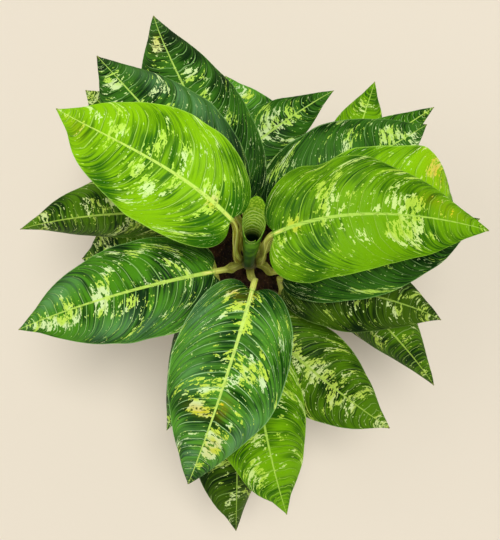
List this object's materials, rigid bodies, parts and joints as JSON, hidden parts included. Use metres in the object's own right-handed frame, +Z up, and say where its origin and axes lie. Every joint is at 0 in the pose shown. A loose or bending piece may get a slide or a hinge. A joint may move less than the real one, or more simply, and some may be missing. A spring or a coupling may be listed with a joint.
{
  "type": "potted dieffenbachia",
  "caption": "Bushy dumb cane plant with broad mottled green leaves on arching stalks, growing from canes in a plain round clay pot.",
  "frame": {"origin": "centre of the pot's base, on the surface the pot stands on", "axes": "+Z up, +X to the right and +Y to the top of the picture, which looks straight down on the plant; -Y is the plant's front"},
  "size_m": [0.5221, 0.6031, 0.3936],
  "materials": {
    "clay": "matte unglazed terracotta",
    "soil": "crumbly and matte",
    "cane_green": "ringed olive green bark",
    "leaf_dark": "satin dark green with pale yellow-green blotches",
    "leaf_light": "satin light green with cream blotches"
  },
  "bodies": {
    "root": {"back_left_cane": "cane_green", "back_left_leaf_1": "leaf_dark", "back_left_leaf_2": "leaf_dark", "back_left_leaf_3": "leaf_dark", "back_right_cane": "cane_green", "back_right_leaf_1": "leaf_light", "back_right_leaf_2": "leaf_dark", "back_right_leaf_3": "leaf_dark", "front_left_cane": "cane_green", "front_left_leaf_1": "leaf_light", "front_left_leaf_2": "leaf_dark", "front_left_leaf_3": "leaf_dark", "front_left_leaf_4": "leaf_dark", "front_right_cane": "cane_green", "front_right_leaf_1": "leaf_dark", "front_right_leaf_2": "leaf_dark", "front_right_leaf_3": "leaf_dark", "main_cane": "cane_green", "main_leaf_1": "leaf_light", "main_leaf_2": "leaf_light", "main_leaf_3": "leaf_light", "main_leaf_4": "leaf_dark", "main_leaf_5": "leaf_dark", "main_leaf_6": "leaf_dark", "main_leaf_7": "leaf_dark", "main_leaf_8": "leaf_dark", "main_leaf_9": "leaf_dark", "pot": "clay", "rolled_leaf": "leaf_light", "soil": "soil"}
  },
  "joints": []
}
